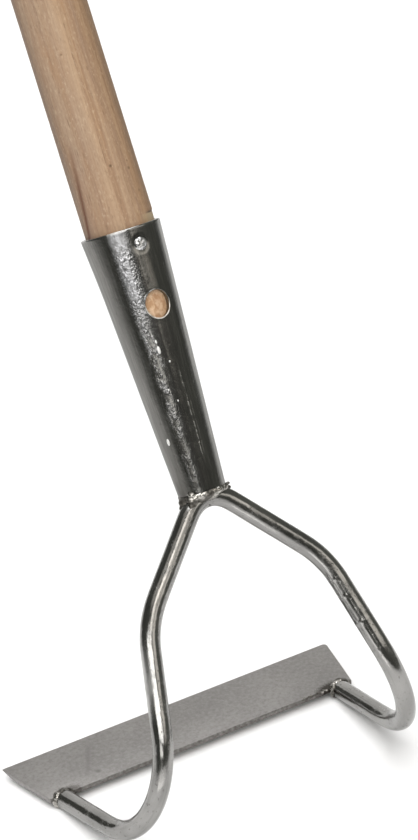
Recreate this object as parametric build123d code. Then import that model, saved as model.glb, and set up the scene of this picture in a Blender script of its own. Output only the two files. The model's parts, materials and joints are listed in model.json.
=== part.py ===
from build123d import *
import math
import os

# A stirrup hoe, in millimetres: a blade welded across the ends of one bent rod (the stirrup),
# the rod welded under a conical steel socket, and an ash handle driven into the socket.
#
# Frame: the origin is the middle of the blade's flat underside. +Z is up, square to the blade,
# +X runs across the blade and +Y points from the welded edge to the cutting edge, the way the
# hoe is pulled. The handle rises from the socket and leans towards +Y, over the cutting edge.

# Handle
HANDLE_RADIUS = 14.0
HANDLE_LENGTH = 1500.0
HANDLE_LEAN = 29.2              # degrees between the handle and +Z
HANDLE_TOP_ROUNDING = 9.0
HANDLE_TIP_GAP = 6.0            # air between the handle's tip and the weld in the socket's foot
TAPER_CLEARANCE = 0.05

# Socket, a cone rolled from sheet, with its seam at the back
SOCKET_FOOT = (0.0, -24.2, 125.4)
SOCKET_LENGTH = 105.0
SOCKET_RIM_RADIUS = 15.6
SOCKET_FOOT_RADIUS = 9.5
SOCKET_WALL = 1.5
RIM_ROUNDING = 0.5
SEAM_WIDTH = 0.8
SOCKET_TURN = -2.5              # degrees; the window and the screw sit a little towards -X
WINDOW_HEIGHT = 74.2            # oval window in the front wall, above the socket's foot
WINDOW_RADIUS_ALONG = 5.4
WINDOW_RADIUS_ACROSS = 5.0

# Screw that holds the handle in the socket
SCREW_HEIGHT = 98.0             # above the socket's foot
SCREW_HEAD_RADIUS = 2.9
SCREW_HEAD_HEIGHT = 1.5
SCREW_SHANK_RADIUS = 1.75
SCREW_LENGTH = 16.0
SCREW_SEAT_DEPTH = 0.7
SCREW_SEAT_RADIUS = 4.4
RECESS_LENGTH = 3.4
RECESS_WIDTH = 0.75
RECESS_DEPTH = 0.9

# Stirrup, one round rod: apex under the socket, shoulders, hooks and ends at the blade
ROD_RADIUS = 4.0
APEX = (0.0, -24.2, 128.7)
SHOULDER = (40.4, -47.3, 91.3)
HOOK = (62.0, -99.3, 17.1)
ROD_END = (65.45, -15.1, 0.2)
APEX_BEND = 12.0
SHOULDER_BEND = 40.0
HOOK_BEND = 34.5
ROD_OVERRUN = 0.05              # the rod runs on by this share of its last leg, then is cut square
ROD_END_FLAT = -2.6             # the undersides of the rod's ends are ground off at this height

# Blade
BLADE_DEPTH = 29.0
BLADE_THICKNESS = 2.0
BLADE_BACK_HALF_WIDTH = 71.3
BLADE_EDGE_HALF_WIDTH = 77.4
BEVEL_WIDTH = 6.0               # ground on the underside
EDGE_THICKNESS = 0.3
RIGHT_CORNER_ROUNDING = 1.6
LEFT_CORNER_ROUNDING = 0.4

# Weld beads
SOCKET_WELD_RADIUS = 9.3
SOCKET_WELD_HEIGHT = 4.6
SOCKET_WELD_DROP = 0.8          # its middle lies this far below the socket's foot
BLADE_WELD_RADII = (5.0, 3.2, 4.4)
WELD_GAP = 0.01

BLOCK = 300.0                   # side of a cutting block, larger than the hoe's head

BLADE_BACK_Y = -BLADE_DEPTH / 2.0
BLADE_EDGE_Y = BLADE_DEPTH / 2.0
SOCKET_CONE_ANGLE = math.degrees(math.atan2(SOCKET_RIM_RADIUS - SOCKET_FOOT_RADIUS, SOCKET_LENGTH))
ON_THE_GROUND = (Align.CENTER, Align.CENTER, Align.MIN)

# The handle, the socket and the screw are drawn upright, with the socket's foot at the origin
# and its front towards -Y, then leaned into place.
lean_into_place = Location(SOCKET_FOOT, (-HANDLE_LEAN, 0, 0)) * Rot(0, 0, SOCKET_TURN)


def socket_radius(height):
    """Outer radius of the socket at a height above its foot."""
    return SOCKET_FOOT_RADIUS + (SOCKET_RIM_RADIUS - SOCKET_FOOT_RADIUS) * height / SOCKET_LENGTH


def front_of_socket(height):
    """Plane on the socket's front wall, with its normal pointing out."""
    angle = math.radians(SOCKET_CONE_ANGLE)
    return Plane(
        origin=(0, -socket_radius(height), height),
        x_dir=(1, 0, 0),
        z_dir=(0, -math.cos(angle), -math.sin(angle)),
    )


def mirrored(point):
    return (-point[0], point[1], point[2])


def everything_under(height):
    """Block that fills the space below a height."""
    return Pos(0, 0, height) * Box(BLOCK, BLOCK, BLOCK, align=(Align.CENTER, Align.CENTER, Align.MAX))


def everything_past_the_back_edge():
    """Block that fills the space in front of the plane of the blade's back edge."""
    return Pos(0, BLADE_BACK_Y, 0) * Box(
        BLOCK, BLADE_DEPTH, BLOCK, align=(Align.CENTER, Align.MIN, Align.CENTER)
    )


def make_rod(radius):
    """The stirrup's rod, cut off at the blade's back edge and ground flat under its ends."""
    hook = Vector(*HOOK)
    end = Vector(*ROD_END)
    overrun = end + (end - hook) * ROD_OVERRUN
    right_end = (overrun.X, overrun.Y, overrun.Z)
    corners = [right_end, HOOK, SHOULDER, APEX, mirrored(SHOULDER), mirrored(HOOK), mirrored(right_end)]
    bends = [HOOK_BEND, SHOULDER_BEND, APEX_BEND, SHOULDER_BEND, HOOK_BEND]
    path = FilletPolyline(*corners, radius=bends)
    section = Plane(origin=path @ 0, z_dir=path % 0) * Circle(radius)
    rod = sweep(section, path=path)
    return rod - everything_past_the_back_edge() - everything_under(ROD_END_FLAT)


def make_screw():
    """Round-head wood screw, drawn along +Z with the seat of its head at zero."""
    dome_radius = (SCREW_HEAD_RADIUS**2 + SCREW_HEAD_HEIGHT**2) / (2 * SCREW_HEAD_HEIGHT)
    dome = Pos(0, 0, SCREW_HEAD_HEIGHT - dome_radius) * Sphere(dome_radius)
    head = dome & Cylinder(SCREW_HEAD_RADIUS, SCREW_HEAD_HEIGHT, align=ON_THE_GROUND)
    recess_bottom = SCREW_HEAD_HEIGHT - RECESS_DEPTH
    for turn in (45, 135):
        slot = Box(RECESS_LENGTH, RECESS_WIDTH, 2 * SCREW_HEAD_HEIGHT, align=ON_THE_GROUND)
        head -= Pos(0, 0, recess_bottom) * Rot(0, 0, turn) * slot
    point_length = 2.5 * SCREW_SHANK_RADIUS
    straight = SCREW_LENGTH - point_length
    shank = Pos(0, 0, -straight / 2) * Cylinder(SCREW_SHANK_RADIUS, straight)
    point = Pos(0, 0, -straight - point_length / 2) * Cone(0.2, SCREW_SHANK_RADIUS, point_length)
    return head + shank + point


def place_screw(screw):
    seat = front_of_socket(SCREW_HEIGHT).offset(-SCREW_SEAT_DEPTH)
    return lean_into_place * (seat.location * screw)


def make_socket(rod):
    """Rolled cone with an open seam, an oval window, a screw seat and a foot cut to the rod."""
    cone = Cone(SOCKET_FOOT_RADIUS, SOCKET_RIM_RADIUS, SOCKET_LENGTH, align=ON_THE_GROUND)
    rim = cone.edges().filter_by(GeomType.CIRCLE).sort_by(Axis.Z)[-1]
    cone = fillet(rim, RIM_ROUNDING)
    hollow = Cone(
        SOCKET_FOOT_RADIUS - SOCKET_WALL,
        SOCKET_RIM_RADIUS - SOCKET_WALL,
        SOCKET_LENGTH,
        align=ON_THE_GROUND,
    )
    seam = Box(SEAM_WIDTH, 2 * SOCKET_RIM_RADIUS, SOCKET_LENGTH, align=(Align.CENTER, Align.MIN, Align.MIN))
    window_plane = front_of_socket(WINDOW_HEIGHT)
    window_outline = window_plane * Ellipse(WINDOW_RADIUS_ACROSS, WINDOW_RADIUS_ALONG)
    window = extrude(window_outline, SOCKET_WALL * 2, both=True)
    screw_plane = front_of_socket(SCREW_HEIGHT)
    screw_hole = screw_plane.location * Cylinder(SCREW_SHANK_RADIUS + TAPER_CLEARANCE, 4 * SOCKET_WALL)
    seat_cone = Cone(SCREW_HEAD_RADIUS, SCREW_SEAT_RADIUS, SCREW_SEAT_DEPTH)
    seat = screw_plane.location * Pos(0, 0, -SCREW_SEAT_DEPTH / 2) * seat_cone
    above_seat = screw_plane.location * Cylinder(SCREW_SEAT_RADIUS, SOCKET_WALL, align=ON_THE_GROUND)
    socket = cone - hollow - seam - window - screw_hole - seat - above_seat
    return lean_into_place * socket - rod


def make_handle(screw):
    """Ash shaft with a rounded top and a taper that fills the socket."""
    tip_height = HANDLE_TIP_GAP
    inside = SOCKET_WALL + TAPER_CLEARANCE
    tip_radius = socket_radius(tip_height) - inside
    taper_top = min(socket_radius(SOCKET_LENGTH) - inside, HANDLE_RADIUS)
    taper = Pos(0, 0, tip_height) * Cone(
        tip_radius, taper_top, SOCKET_LENGTH - tip_height, align=ON_THE_GROUND
    )
    shaft_length = HANDLE_LENGTH - (SOCKET_LENGTH - tip_height)
    shaft = Pos(0, 0, SOCKET_LENGTH) * Cylinder(HANDLE_RADIUS, shaft_length, align=ON_THE_GROUND)
    top_edge = shaft.edges().filter_by(GeomType.CIRCLE).sort_by(Axis.Z)[-1]
    shaft = fillet(top_edge, HANDLE_TOP_ROUNDING)
    return lean_into_place * (taper + shaft) - screw


def make_blade():
    """Trapezoid plate, ground to an edge from below, with its cutting corners eased."""
    outline = Polyline(
        (-BLADE_BACK_HALF_WIDTH, BLADE_BACK_Y),
        (BLADE_BACK_HALF_WIDTH, BLADE_BACK_Y),
        (BLADE_EDGE_HALF_WIDTH, BLADE_EDGE_Y),
        (-BLADE_EDGE_HALF_WIDTH, BLADE_EDGE_Y),
        close=True,
    )
    plate = make_face(outline)
    cutting_corners = plate.vertices().group_by(Axis.Y)[-1].sort_by(Axis.X)
    plate = fillet(cutting_corners[-1], RIGHT_CORNER_ROUNDING)
    left_corner = plate.vertices().sort_by(Axis.X)[0]
    plate = fillet(left_corner, LEFT_CORNER_ROUNDING)
    plate = extrude(plate, BLADE_THICKNESS)
    bevel_start = BLADE_EDGE_Y - BEVEL_WIDTH
    bevel_end = BLADE_EDGE_Y + 1.0
    bevel_rise = (BLADE_THICKNESS - EDGE_THICKNESS) * (bevel_end - bevel_start) / BEVEL_WIDTH
    wedge_outline = Plane.YZ * make_face(
        Polyline((bevel_start, 0), (bevel_end, 0), (bevel_end, bevel_rise), close=True)
    )
    return plate - extrude(wedge_outline, 2 * BLADE_EDGE_HALF_WIDTH, both=True)


def make_socket_weld(socket, rod):
    """Weld metal that closes the socket's foot round the rod."""
    pool = Sphere(SOCKET_WELD_RADIUS)
    pool = scale(pool, by=(1, 1, SOCKET_WELD_HEIGHT / SOCKET_WELD_RADIUS))
    pool = lean_into_place * (Pos(0, 0, -SOCKET_WELD_DROP) * pool)
    return pool - socket - rod


def make_blade_weld(side, blade, rod):
    """Bead that ramps from the end of the rod onto the blade; side is 1 right and -1 left."""
    bead = scale(Sphere(1), by=BLADE_WELD_RADII)
    bead = Pos(side * ROD_END[0], BLADE_BACK_Y, ROD_END[2]) * bead
    under_the_blade = everything_past_the_back_edge() & everything_under(0)
    return bead - under_the_blade - everything_under(ROD_END_FLAT) - blade - rod


def write(name, shape):
    solids = shape.solids()
    piece = solids[0] if len(solids) == 1 else Compound(children=list(solids))
    piece.label = name
    export_step(piece, "parts/" + name + ".step")
    print(name, len(solids), "solid(s)", round(shape.volume, 1), "mm3")


def main():
    os.makedirs("parts", exist_ok=True)
    rod = make_rod(ROD_RADIUS)
    tight_rod = make_rod(ROD_RADIUS + WELD_GAP)
    screw = place_screw(make_screw())
    socket = make_socket(tight_rod)
    blade = make_blade()
    write("handle", make_handle(screw))
    write("socket", socket)
    write("socket_screw", screw)
    write("stirrup_rod", rod)
    write("blade", blade)
    write("socket_weld", make_socket_weld(socket, tight_rod))
    write("blade_weld_right", make_blade_weld(1, blade, tight_rod))
    write("blade_weld_left", make_blade_weld(-1, blade, tight_rod))


main()
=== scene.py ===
# A stirrup hoe: ash handle, zinc-plated socket, bent rod and blade, with its welds and screw.
# Everything is in metres, in the frame's own axes: +Z up, +Y towards the cutting edge.

import json
import math
import random

import bmesh
import bpy
from mathutils import Matrix, Vector, noise


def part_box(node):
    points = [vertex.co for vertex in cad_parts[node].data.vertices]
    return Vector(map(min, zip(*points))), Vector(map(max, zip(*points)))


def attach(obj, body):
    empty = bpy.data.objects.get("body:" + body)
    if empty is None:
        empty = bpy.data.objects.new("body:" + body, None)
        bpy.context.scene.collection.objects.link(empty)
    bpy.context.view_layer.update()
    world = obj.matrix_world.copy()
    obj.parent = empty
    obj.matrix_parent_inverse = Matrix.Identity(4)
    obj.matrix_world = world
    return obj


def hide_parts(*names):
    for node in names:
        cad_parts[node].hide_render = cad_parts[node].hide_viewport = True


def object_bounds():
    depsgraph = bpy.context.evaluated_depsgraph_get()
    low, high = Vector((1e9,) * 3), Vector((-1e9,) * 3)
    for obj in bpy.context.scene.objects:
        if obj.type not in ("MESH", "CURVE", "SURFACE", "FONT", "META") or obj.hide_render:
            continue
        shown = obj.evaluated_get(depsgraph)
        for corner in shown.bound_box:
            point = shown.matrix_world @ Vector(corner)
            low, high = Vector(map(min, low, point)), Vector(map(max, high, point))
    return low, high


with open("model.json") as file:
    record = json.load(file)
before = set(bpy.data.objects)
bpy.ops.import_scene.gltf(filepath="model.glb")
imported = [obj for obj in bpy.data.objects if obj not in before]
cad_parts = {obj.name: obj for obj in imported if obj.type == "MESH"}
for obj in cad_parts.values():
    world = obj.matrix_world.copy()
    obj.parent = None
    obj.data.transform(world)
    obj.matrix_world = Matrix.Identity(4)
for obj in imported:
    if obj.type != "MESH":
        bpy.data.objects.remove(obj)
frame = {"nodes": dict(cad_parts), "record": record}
cad_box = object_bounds()

MM = 0.001
SEED = 11

# Camera, as angles round the hoe's head
CAMERA_AZIMUTH = -29.93
CAMERA_ELEVATION = 30.73
CAMERA_ROLL = 3.16
CAMERA_DISTANCE = 1.467
CAMERA_LENS = 163.1
LOOK_AT = Vector((0.0105, -0.0145, 0.1483))

# Studio: tone of the dim room; on the floor, the middle of the bright part that the metal reflects and of
# the dark patch behind the hoe; how far away lights stand; the left hook, from the rod box's low corner
ROOM_TONE = (0.120, 0.122, 0.110)
SHADE_CENTRE = (0.17, 0.25)
BEHIND_CENTRE = (0.19, 0.34)
WARM = (1.0, 0.95, 0.89)
LIGHT_DISTANCE = 2.6
CARD_DISTANCE = 0.12
HOOK_INSET = Vector((12, 4, 20)) * MM

# Shaft: how it is cut back to enter the socket (from and to in degrees round from the front), and how
# many rows and sides its mesh has
CUT_HEIGHT = 3.5 * MM
CUT_DEPTH = 0.3 * MM
CUT_FROM = 15
CUT_TO = 115
CUT_FADE = 25
TAPER_ROWS = 40
CUT_ROWS = 16
SHAFT_ROWS = 160
TOP_ROWS = 12
SHAFT_SIDES = 160
SHAFT_END_RISE = 6 * MM
TIP_ROUNDING = 0.3 * MM

# Socket, measured up the handle from its foot; the screw and the window face out of its front, and the
# two angles are those of its back and front round the tool's z axis
SOCKET_TURN = -2.5
SOCKET_RIM_RADIUS = 15.6 * MM
SOCKET_FOOT_RADIUS = 9.5 * MM
SOCKET_WALL = 1.5 * MM
RIM_ROUNDING = 0.6 * MM
SEAM_WIDTH = 0.8 * MM
FOOT_BLEND = 25 * MM
FLARE = 0.55 * MM
WINDOW_HEIGHT = 74.2 * MM
WINDOW_ACROSS = 4.95 * MM
WINDOW_ALONG = 5.4 * MM
WINDOW_LIP = 0.2 * MM
SCREW_HEIGHT = 98 * MM
SEAT_RADIUS = 4.4 * MM
SEAT_DEPTH = 0.55 * MM
BACK = math.pi / 2
FRONT = 3 * math.pi / 2

# The socket's grid of faces, and half the patch of it that is left out for the window
COLUMNS = 240
ROWS = 210
HALF_COLUMNS = 26
HALF_ROWS = 20
MIDDLE_COLUMN = COLUMNS // 2

# Steps from the grid to the window's edge, over its lip (distance outside the edge in mm, share of the
# lip's height), through the wall and back to the grid inside
WINDOW_STEPS = (0.15, 0.3, 0.45, 0.6, 0.72, 0.82, 0.9)
LIP_STEPS = (
    (0.46, 0.0), (0.40, 0.3), (0.33, 0.7), (0.26, 1.0), (0.19, 1.0), (0.12, 0.8), (0.06, 0.4), (0.0, 0.0))
WALL_STEPS = (0.25, 0.5, 0.75, 1.0)
INSIDE_STEPS = (0.8, 0.6, 0.4, 0.2)

# Blade: how far its sheared edges are broken, and its scuff and dark spot from its back left corner
BLADE_EDGE = 0.22 * MM
SCUFF_PLACE = (31.8 * MM, 15.0 * MM)
SPOT_PLACE = (31.0 * MM, 5.8 * MM)

# Rod, swept again along the CAD rod; jaw marks: distance from its left end, half-width, height (mm),
# all on the side of the rod that faces MARK_SIDE (azimuth and elevation). The left arm is worn dull on
# the side that faces WORN_SIDE; place and half-length of that patch, in mm from the rod's left end
ROD_RADIUS = 4.0 * MM
ROD_STEP = 0.6 * MM
ROD_SIDES = 44
ROD_SMOOTHING = 24
MARK_SIDE = (-70, 5)
JAW_MARKS = (
    (265, 0.9, 0.16),
    (273, 0.8, 0.14),
    (285, 1.1, 0.22),
    (298, 0.7, 0.10),
)
WORN_SIDE = (-112, 6)
WORN_PLACE = 123
WORN_REACH = 17

# Pin knots on the shaft: degrees round from the front, height above the rim, radius (mm), darkness
PIN_KNOTS = (
    (-8, 24.5, 0.8, 0.75),
    (23, 21.7, 0.8, 0.6),
    (24, 24.6, 0.5, 0.5),
    (31, 12.5, 0.9, 0.35),
    (-30, 70, 0.6, 0.5),
    (150, 60, 1.0, 0.6),
)

# Beads of spatter by the right weld, ripples round the socket's foot, and the toes of the weld there in
# the tool's axes: x, y, z, radius (mm)
SPATTER_BEADS = 13
FOOT_RIPPLES = 22
FOOT_TOES = (
    (-8.6, -1.2, -2.4, 2.6),
    (-9.8, -1.6, -4.4, 2.2),
    (-11.0, -1.6, -6.0, 1.7),
    (-6.6, -4.6, -2.2, 2.4),
    (-8.0, -3.2, -4.8, 1.9),
    (-3.4, -5.4, -1.4, 2.4),
    (-5.0, -2.6, -2.6, 2.5),
    (-2.2, -2.6, 0.4, 2.5),
    (0.6, -2.8, 1.4, 2.4),
    (0.2, -5.8, -0.9, 2.2),
    (3.0, -2.6, -0.2, 2.5),
    (5.6, -2.4, -2.4, 2.3),
    (3.8, -5.2, -0.9, 2.3),
    (6.9, -4.0, -1.2, 2.2),
    (8.9, -1.0, -1.5, 1.9),
    (10.3, -1.0, -2.4, 1.3),
    (11.4, 0.2, -0.9, 0.75),
    (-7.0, -5.6, 0.2, 1.7),
    (-7.6, -5.4, -2.0, 1.9),
    (-8.0, -5.0, -4.2, 1.6),
)

# Drips of zinc on the socket: degrees round from the window, height, half-width, half-length, rise (mm)
ZINC_DRIPS = (
    (-62, 22.0, 0.62, 1.4, 0.42),
    (-21.5, 57.2, 0.60, 1.6, 0.32),
    (-22, 60.5, 0.35, 0.8, 0.22),
    (-9, 51.8, 0.38, 0.4, 0.26),
    (-26, 41.5, 0.28, 0.35, 0.16),
    (-15, 36.5, 0.25, 0.45, 0.14),
)


# ---- the handle's own axes

shaft = next(mount for mount in frame["record"]["mounts"] if mount["name"] == "handle_shaft")
SHAFT_AXIS = Vector(shaft["axis"]).normalized()
SHAFT_RADIUS = shaft["dims"]["r_mm"] * MM
SHAFT_LENGTH = shaft["dims"]["length_mm"] * MM
RIM_CENTRE = Vector(shaft["pos_m"]) - SHAFT_AXIS * SHAFT_LENGTH / 2
ACROSS = Vector((1, 0, 0))
shaft_end = min((v.co - RIM_CENTRE).dot(SHAFT_AXIS) for v in frame["nodes"]["handle"].data.vertices)
SOCKET_LENGTH = -shaft_end + SHAFT_END_RISE
FOOT_CENTRE = RIM_CENTRE - SHAFT_AXIS * SOCKET_LENGTH
WINDOW_ROW = round(ROWS * WINDOW_HEIGHT / SOCKET_LENGTH)

# The tool's axes: origin at the socket's foot, z along the handle, -y out of the socket's front
upright = Matrix((ACROSS, SHAFT_AXIS.cross(ACROSS), SHAFT_AXIS)).transposed().to_4x4()
TOOL = Matrix.Translation(FOOT_CENTRE) @ upright @ Matrix.Rotation(math.radians(SOCKET_TURN), 4, "Z")
TO_TOOL = TOOL.inverted()


def in_tool_axes(node_name):
    """Points of a CAD node, in the tool's axes."""
    return [TO_TOOL @ vertex.co for vertex in frame["nodes"][node_name].data.vertices]


# ---- mesh helpers

def link(name, data):
    """New object in the scene."""
    made = bpy.data.objects.new(name, data)
    bpy.context.scene.collection.objects.link(made)
    return made


def new_piece(name, mesh, material, replaced, matrix=Matrix(), sharp=None):
    """Links a mesh as a smooth piece that rides on the hoe and replaces a CAD node; edges over the sharp
    angle, in degrees, stay hard."""
    mesh.polygons.foreach_set("use_smooth", [True] * len(mesh.polygons))
    if sharp:
        mesh.set_sharp_from_angle(angle=math.radians(sharp))
    mesh.materials.append(material)
    piece = link(name, mesh)
    piece.matrix_world = matrix
    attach(piece, "root")
    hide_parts(replaced)


def copy_of(node_name):
    """A CAD node's mesh, with the points that its faces share joined."""
    made = bmesh.new()
    made.from_mesh(frame["nodes"][node_name].data)
    bmesh.ops.remove_doubles(made, verts=made.verts, dist=1e-6)
    return made


def mesh_from(made, name):
    """Moves a bmesh into a new mesh."""
    mesh = bpy.data.meshes.new(name)
    made.to_mesh(mesh)
    made.free()
    return mesh


def polar(radius, turn, height):
    """Point at a radius and an angle round the z axis."""
    return Vector((radius * math.cos(turn), radius * math.sin(turn), height))


def bridge(made, low, high):
    """Faces between two closed rings of vertices, either of which may be a single point."""
    faces = []
    count = max(len(low), len(high))
    for step in range(count):
        after = (step + 1) % count
        if len(low) == 1:
            corners = (low[0], high[after], high[step])
        elif len(high) == 1:
            corners = (low[step], low[after], high[0])
        else:
            corners = (low[step], low[after], high[after], high[step])
        faces.append(made.faces.new(corners))
    return faces


def join_rings(made, rings):
    """Closed skin over rings of vertices; an end that isn't a single point gets a flat face."""
    for low, high in zip(rings, rings[1:]):
        bridge(made, low, high)
    for end in (rings[0], rings[-1]):
        if len(end) > 1:
            made.faces.new(end)
    bmesh.ops.recalc_face_normals(made, faces=made.faces)


# ---- material helpers

class Field:
    """A value that varies over a surface. Arithmetic on it adds nodes to its material's tree."""

    def __init__(self, socket):
        self.socket = socket

    def __add__(self, other):
        return math_node("ADD", self, other)

    def __sub__(self, other):
        return math_node("SUBTRACT", self, other)

    def __rsub__(self, other):
        return math_node("SUBTRACT", other, self)

    def __mul__(self, other):
        return math_node("MULTIPLY", self, other)

    def __truediv__(self, other):
        return math_node("DIVIDE", self, other)

    def __pow__(self, other):
        return math_node("POWER", self, other)

    def __abs__(self):
        return math_node("ABSOLUTE", self)


def tree_of(*values):
    """Node tree of the first Field among some values."""
    return next(value.socket.id_data for value in values if isinstance(value, Field))


def fill(target, value):
    """Links a Field or another node's output to an input, or sets the input to a plain value."""
    source = value.socket if isinstance(value, Field) else value
    if isinstance(source, bpy.types.NodeSocket):
        target.id_data.links.new(source, target)
    else:
        target.default_value = source


def node(tree, kind, attributes=None, **inputs):
    """Adds a node; an input is given by its name, or as _ and its number."""
    made = tree.nodes.new(kind)
    for key, value in (attributes or {}).items():
        setattr(made, key, value)
    for key, value in inputs.items():
        fill(made.inputs[int(key[1:])] if key[0] == "_" else made.inputs[key], value)
    return made


def math_node(operation, first, second=0.0, clamp=False):
    made = node(tree_of(first, second), "ShaderNodeMath", {"operation": operation, "use_clamp": clamp},
                _0=first, _1=second)
    return Field(made.outputs[0])


def scaled(field, factor, offset=0.0):
    """The field times a factor, plus an offset, in one node."""
    made = node(tree_of(field), "ShaderNodeMath", {"operation": "MULTIPLY_ADD"},
                _0=field, _1=factor, _2=offset)
    return Field(made.outputs[0])


def hypot(first, second):
    return math_node("SQRT", first * first + second * second)


def ramp(factor, *stops):
    """Grey ramp from (position, grey) stops."""
    made = node(tree_of(factor), "ShaderNodeValToRGB", Fac=factor)
    elements = made.color_ramp.elements
    while len(elements) < len(stops):
        elements.new(0.5)
    for element, (position, grey) in zip(elements, stops):
        element.position = position
        element.color = (grey, grey, grey, 1)
    return Field(made.outputs["Color"])


def mix(factor, first, second, blend="MIX"):
    """Second colour over the first, by a factor."""
    made = node(tree_of(factor, first, second), "ShaderNodeMix", {"data_type": "RGBA", "blend_type": blend},
                _0=factor)
    for number, value in ((6, first), (7, second)):
        fill(made.inputs[number], (*value, 1) if isinstance(value, tuple) else value)
    return Field(made.outputs[2])


def paint(colour, *layers):
    """Lays (mask, tint) layers over a colour, in their order."""
    for mask, tint in layers:
        colour = mix(mask, colour, tint)
    return colour


def object_place(tree):
    """Place on a surface, in its piece's own axes."""
    return Field(node(tree, "ShaderNodeTexCoord").outputs["Object"])


def split(place):
    """The x, y and z of a place."""
    return [Field(part) for part in node(tree_of(place), "ShaderNodeSeparateXYZ", Vector=place).outputs]


def stretch(place, scale):
    made = node(tree_of(place), "ShaderNodeVectorMath", {"operation": "MULTIPLY"}, _0=place, _1=scale)
    return Field(made.outputs[0])


def noise_at(place, scale, detail=2.0, roughness=0.5, distortion=0.0):
    """Noise with its own scale along each axis, per metre."""
    made = node(tree_of(place), "ShaderNodeTexNoise", Vector=stretch(place, scale), Scale=1.0, Detail=detail,
                Roughness=roughness, Distortion=distortion)
    return Field(made.outputs["Fac"])


def attribute(tree, name, output):
    """Value that a mesh holds for each of its vertices."""
    return Field(node(tree, "ShaderNodeAttribute", {"attribute_name": name}).outputs[output])


def new_material(name):
    material = bpy.data.materials.new(name)
    material.use_nodes = True
    return material, material.node_tree, material.node_tree.nodes["Principled BSDF"]


def finish_surface(shader, colour, roughness, height, distance, metallic=1.0, strength=1.0):
    """Gives a shader its colour, roughness and bump, and sets how metallic it is."""
    relief = node(shader.id_data, "ShaderNodeBump", Strength=strength, Distance=distance, Height=height)
    fill(shader.inputs["Base Color"], colour)
    fill(shader.inputs["Metallic"], metallic)
    fill(shader.inputs["Roughness"], roughness)
    fill(shader.inputs["Normal"], relief.outputs["Normal"])


# ---- materials

def ash_material():
    """Turned ash: lengthwise bands and fibres, open pores, a brown streak and a few pin knots."""
    material, tree, shader = new_material("ash")
    place = object_place(tree)
    x, y, z = split(place)
    turn = math_node("ARCTAN2", x, y * -1.0)
    above = z - SOCKET_LENGTH

    # Growth rings about a pith outside the shaft, so they run up it as long bands
    wander = noise_at(place, (16, 16, 2.0))
    from_pith = hypot(x + scaled(z, 0.012, 0.03) + wander * 0.012, y + 0.06)
    ring = math_node("FRACT", from_pith * 330.0)
    late_wood = ramp(ring, (0, 0), (0.5, 0.2), (0.88, 1), (1, 0.1))
    early_wood = ramp(ring, (0, 1), (0.3, 0.5), (0.5, 0.15))

    broad = noise_at(place, (75, 75, 2.6))
    band = noise_at(place, (260, 260, 5), 2, 0.55)
    streak = noise_at(place, (620, 620, 10), 2, 0.6)
    fibre = noise_at(place, (1700, 1700, 40), 3, 0.65)
    pores = noise_at(place, (2100, 2100, 170), 1)
    fleck = noise_at(place, (1300, 1300, 520), 2, 0.6)
    patch = noise_at(place, (150, 150, 22), 3, 0.6)
    dashes = noise_at(place, (1100, 1100, 230), 1)
    pore_mask = ramp(pores, (0.6, 0), (0.68, 1)) * early_wood

    warm_side = ramp(scaled(turn, 0.5, 0.5), (0.28, 0), (0.66, 1))
    pale = ramp(scaled(turn + band * 0.5, 0.5, 0.5), (0.29, 0), (0.4, 1), (0.52, 1), (0.62, 0))
    lilac, brown = streak_masks(turn, above, place)
    colour = paint(
        mix(warm_side, (0.368, 0.262, 0.18), (0.43, 0.272, 0.128)),
        (ramp(broad, (0.38, 0), (0.62, 0.95)), (0.402, 0.284, 0.187)),
        (late_wood * 0.3, (0.289, 0.172, 0.1)),
        (ramp(band, (0.46, 0), (0.7, 0.75)), (0.279, 0.196, 0.148)),
        (ramp(patch, (0.5, 0), (0.72, 0.6)), (0.323, 0.181, 0.093)),
        (pale * 0.46, (0.465, 0.325, 0.205)),
        (ramp(streak, (0.52, 0), (0.72, 0.55)), (0.248, 0.144, 0.086)),
        (ramp(streak, (0.28, 0.52), (0.44, 0)), (0.475, 0.351, 0.237)),
        (ramp(fibre, (0.3, 0.5), (0.6, 0)), (0.275, 0.175, 0.11)),
        (ramp(fleck, (0.25, 0.55), (0.44, 0)), (0.248, 0.165, 0.107)),
        (ramp(fleck, (0.56, 0), (0.74, 0.6)), (0.495, 0.378, 0.261)),
        (ramp(dashes, (0.68, 0), (0.78, 0.35)), (0.144, 0.089, 0.052)),
        (pore_mask * 0.38, (0.131, 0.076, 0.045)),
        (lilac * 0.35, (0.285, 0.19, 0.15)),
        (brown, (0.13, 0.05, 0.028)))
    # Painted shade: the colour is multiplied darker round the shaft's sides and back.
    colour = mix(1, colour, painted_side_shade(turn), "MULTIPLY")
    colour = mix(warm_side, colour, (1.05, 0.985, 0.9), "MULTIPLY")
    blotch = ramp(noise_at(place, (420, 420, 300), 3, 0.7), (0.42, 0), (0.58, 1))
    unfinished = mix(blotch, (0.5, 0.275, 0.135), (0.84, 0.6, 0.4))
    cut, line = cut_masks(turn, above)
    colour = paint(
        colour,
        (inside_mask(above, patch), unfinished),
        (cut * 0.75, (0.427, 0.344, 0.217)),
        (line * 0.8, (0.089, 0.058, 0.034)))
    for knot in PIN_KNOTS:
        colour = mix(knot_mask(turn, above, *knot), colour, (0.096, 0.052, 0.028))

    shader.inputs["IOR"].default_value = 1.45
    shader.inputs["Specular IOR Level"].default_value = 0.3
    finish_surface(shader, colour, scaled(fibre, 0.22, 0.48), fibre - pore_mask * 1.2, 0.09 * MM, 0, 0.9)
    return material


def painted_side_shade(turn):
    """Painted shade: the shaft is made a little darker round its sides and back than down its front."""
    return ramp(
        scaled(turn, 0.25, 0.5),
        (0.06, 0.72), (0.157, 0.88), (0.225, 1), (0.475, 1), (0.55, 0.93), (0.625, 0.86), (0.7, 0.72))


def inside_mask(above, patch):
    """Unfinished wood inside the socket: paler, more orange and blotched."""
    inside = ramp(above * -100.0, (0.5, 0), (1, 0.85))
    return inside * ramp(patch, (0.35, 1), (0.65, 0.55))


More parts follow.
